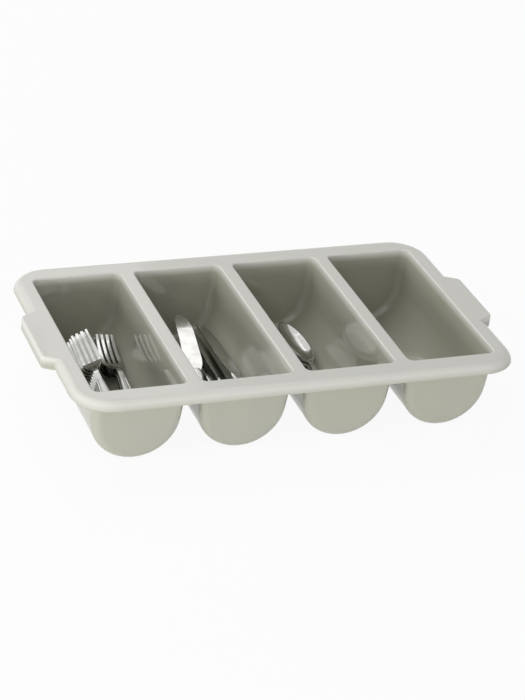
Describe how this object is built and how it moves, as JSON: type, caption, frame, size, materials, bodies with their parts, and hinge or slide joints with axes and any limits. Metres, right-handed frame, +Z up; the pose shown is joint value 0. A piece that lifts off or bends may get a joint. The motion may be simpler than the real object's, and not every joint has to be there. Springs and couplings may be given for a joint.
{
  "type": "cutlery dispenser",
  "caption": "Open moulded tray with round-bottomed bays side by side, a rolled rim with end grips, and loose forks, knives and spoons lying in it.",
  "frame": {"origin": "middle of the tray in plan, on the surface that it stands on", "axes": "+X along the row of bays towards the empty bay, +Y from the front towards the back (the tips of the cutlery point that way), +Z up"},
  "size_m": [0.552, 0.3244, 0.095],
  "materials": {
    "tray_plastic": "semi-gloss moulded light grey",
    "cutlery_steel": "polished stainless steel"
  },
  "bodies": {
    "dispenser_tray": {"dispenser_tray": "tray_plastic"},
    "fork_01": {"fork_01": "cutlery_steel"},
    "fork_02": {"fork_02": "cutlery_steel"},
    "fork_03": {"fork_03": "cutlery_steel"},
    "fork_04": {"fork_04": "cutlery_steel"},
    "fork_05": {"fork_05": "cutlery_steel"},
    "fork_06": {"fork_06": "cutlery_steel"},
    "fork_07": {"fork_07": "cutlery_steel"},
    "fork_08": {"fork_08": "cutlery_steel"},
    "fork_09": {"fork_09": "cutlery_steel"},
    "fork_10": {"fork_10": "cutlery_steel"},
    "fork_11": {"fork_11": "cutlery_steel"},
    "knife_1": {"knife_1": "cutlery_steel"},
    "knife_2": {"knife_2": "cutlery_steel"},
    "knife_3": {"knife_3": "cutlery_steel"},
    "knife_4": {"knife_4": "cutlery_steel"},
    "knife_5": {"knife_5": "cutlery_steel"},
    "knife_6": {"knife_6": "cutlery_steel"},
    "spoon_1": {"spoon_1": "cutlery_steel"},
    "spoon_2": {"spoon_2": "cutlery_steel"},
    "spoon_3": {"spoon_3": "cutlery_steel"}
  },
  "joints": [
    {"name": "lift_fork_01", "type": "slide", "parent": "dispenser_tray", "child": "fork_01", "axis": [0, 0, 1], "range_m": [0, 0.11]},
    {"name": "lift_fork_02", "type": "slide", "parent": "fork_01", "child": "fork_02", "axis": [0, 0, 1], "range_m": [0, 0.11]},
    {"name": "lift_fork_03", "type": "slide", "parent": "fork_02", "child": "fork_03", "axis": [0, 0, 1], "range_m": [0, 0.11]},
    {"name": "lift_fork_04", "type": "slide", "parent": "fork_03", "child": "fork_04", "axis": [0, 0, 1], "range_m": [0, 0.11]},
    {"name": "lift_fork_05", "type": "slide", "parent": "fork_04", "child": "fork_05", "axis": [0, 0, 1], "range_m": [0, 0.11]},
    {"name": "lift_fork_06", "type": "slide", "parent": "fork_05", "child": "fork_06", "axis": [0, 0, 1], "range_m": [0, 0.11]},
    {"name": "lift_fork_07", "type": "slide", "parent": "dispenser_tray", "child": "fork_07", "axis": [0, 0, 1], "range_m": [0, 0.11]},
    {"name": "lift_fork_08", "type": "slide", "parent": "fork_07", "child": "fork_08", "axis": [0, 0, 1], "range_m": [0, 0.11]},
    {"name": "lift_fork_09", "type": "slide", "parent": "fork_08", "child": "fork_09", "axis": [0, 0, 1], "range_m": [0, 0.11]},
    {"name": "lift_fork_10", "type": "slide", "parent": "fork_09", "child": "fork_10", "axis": [0, 0, 1], "range_m": [0, 0.11]},
    {"name": "lift_fork_11", "type": "slide", "parent": "fork_10", "child": "fork_11", "axis": [0, 0, 1], "range_m": [0, 0.11]},
    {"name": "lift_knife_1", "type": "slide", "parent": "dispenser_tray", "child": "knife_1", "axis": [0, 0, 1], "range_m": [0, 0.11]},
    {"name": "lift_knife_2", "type": "slide", "parent": "knife_1", "child": "knife_2", "axis": [0, 0, 1], "range_m": [0, 0.11]},
    {"name": "lift_knife_3", "type": "slide", "parent": "knife_2", "child": "knife_3", "axis": [0, 0, 1], "range_m": [0, 0.11]},
    {"name": "lift_knife_4", "type": "slide", "parent": "knife_3", "child": "knife_4", "axis": [0, 0, 1], "range_m": [0, 0.11]},
    {"name": "lift_knife_5", "type": "slide", "parent": "knife_2", "child": "knife_5", "axis": [0, 0, 1], "range_m": [0, 0.11]},
    {"name": "lift_knife_6", "type": "slide", "parent": "knife_5", "child": "knife_6", "axis": [0, 0, 1], "range_m": [0, 0.11]},
    {"name": "lift_spoon_1", "type": "slide", "parent": "dispenser_tray", "child": "spoon_1", "axis": [0, 0, 1], "range_m": [0, 0.11]},
    {"name": "lift_spoon_2", "type": "slide", "parent": "spoon_1", "child": "spoon_2", "axis": [0, 0, 1], "range_m": [0, 0.11]},
    {"name": "lift_spoon_3", "type": "slide", "parent": "spoon_2", "child": "spoon_3", "axis": [0, 0, 1], "range_m": [0, 0.11]}
  ]
}
